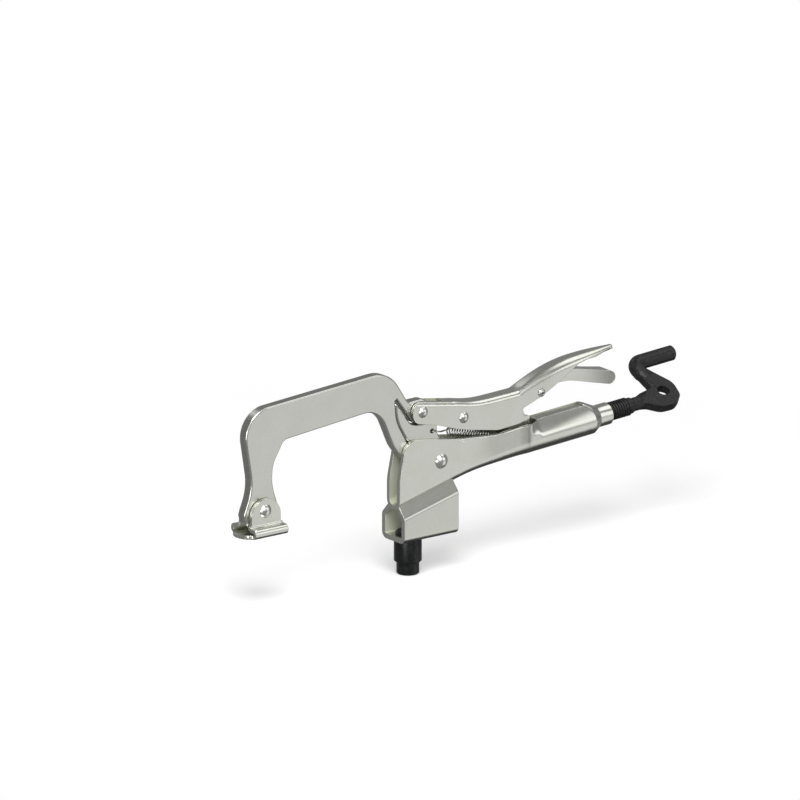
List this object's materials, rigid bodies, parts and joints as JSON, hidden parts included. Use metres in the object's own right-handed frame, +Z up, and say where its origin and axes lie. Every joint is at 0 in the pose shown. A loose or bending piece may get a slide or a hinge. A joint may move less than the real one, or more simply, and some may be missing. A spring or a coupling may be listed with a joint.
{
  "type": "welding table fixture clamp",
  "caption": "Lever-action C clamp on a welding table post: swivel pad, deep throat arm, toggle handle with release lever and a crank screw that sets its grip.",
  "frame": {"origin": "on the post's axis, in the plane of the table top", "axes": "+Z up out of the table, +X from the swivel pad to the crank handle, +Y across the clamp"},
  "size_m": [0.3327, 0.0425, 0.1226],
  "materials": {
    "nickel_sheet": "satin nickel-plated folded sheet",
    "nickel_plate": "satin nickel-plated punched plate",
    "rivet_steel": "bright plated rivets",
    "black_post": "blackened turned steel",
    "black_screw": "blackened forged steel",
    "spring_steel": "drawn spring wire"
  },
  "bodies": {
    "frame": {"fixed_body": "nickel_sheet", "base_bracket": "nickel_sheet", "table_post": "black_post", "main_rivet": "rivet_steel", "spring_anchor": "rivet_steel", "return_spring": "spring_steel"},
    "jaw": {"clamp_arm": "nickel_plate", "jaw_plate": "nickel_plate"},
    "handle": {"upper_handle": "nickel_sheet", "handle_rivet": "rivet_steel", "link_rivet": "rivet_steel", "lever_rivet": "rivet_steel"},
    "link": {"toggle_link": "nickel_plate"},
    "lever": {"release_lever": "nickel_sheet"},
    "swivel": {"pad": "nickel_sheet", "pad_rivet": "rivet_steel"},
    "screw": {"crank_screw": "black_screw"}
  },
  "joints": [
    {"name": "arm_hinge", "type": "hinge", "parent": "frame", "child": "jaw", "pos_m": [0.0195, 0, 0.0436], "axis": [0, 1, 0], "range_deg": [0, 20], "deforming": ["return_spring"]},
    {"name": "handle_hinge", "type": "hinge", "parent": "jaw", "child": "handle", "pos_m": [0.0063, 0, 0.075], "axis": [0, 1, 0], "range_deg": [-44.3, 0]},
    {"name": "link_hinge", "type": "hinge", "parent": "handle", "child": "link", "pos_m": [0.0355, 0, 0.0667], "axis": [0, 1, 0], "range_deg": [0, 48.3]},
    {"name": "lever_hinge", "type": "hinge", "parent": "handle", "child": "lever", "pos_m": [0.091, 0, 0.0718], "axis": [0, 1, 0], "range_deg": [-5, 0]},
    {"name": "pad_swivel", "type": "hinge", "parent": "jaw", "child": "swivel", "pos_m": [-0.106, 0, 0.0363], "axis": [0, 1, 0], "range_deg": [-12, 12]},
    {"name": "crank_turn", "type": "hinge", "parent": "frame", "child": "screw", "pos_m": [0.1433, 0, 0.04942], "axis": [0.9977, 0, 0.068], "continuous": true}
  ],
  "couplings": [
    {"joint": "handle_hinge", "follows": "arm_hinge", "ratio": -2.21},
    {"joint": "link_hinge", "follows": "arm_hinge", "ratio": 2.41}
  ]
}
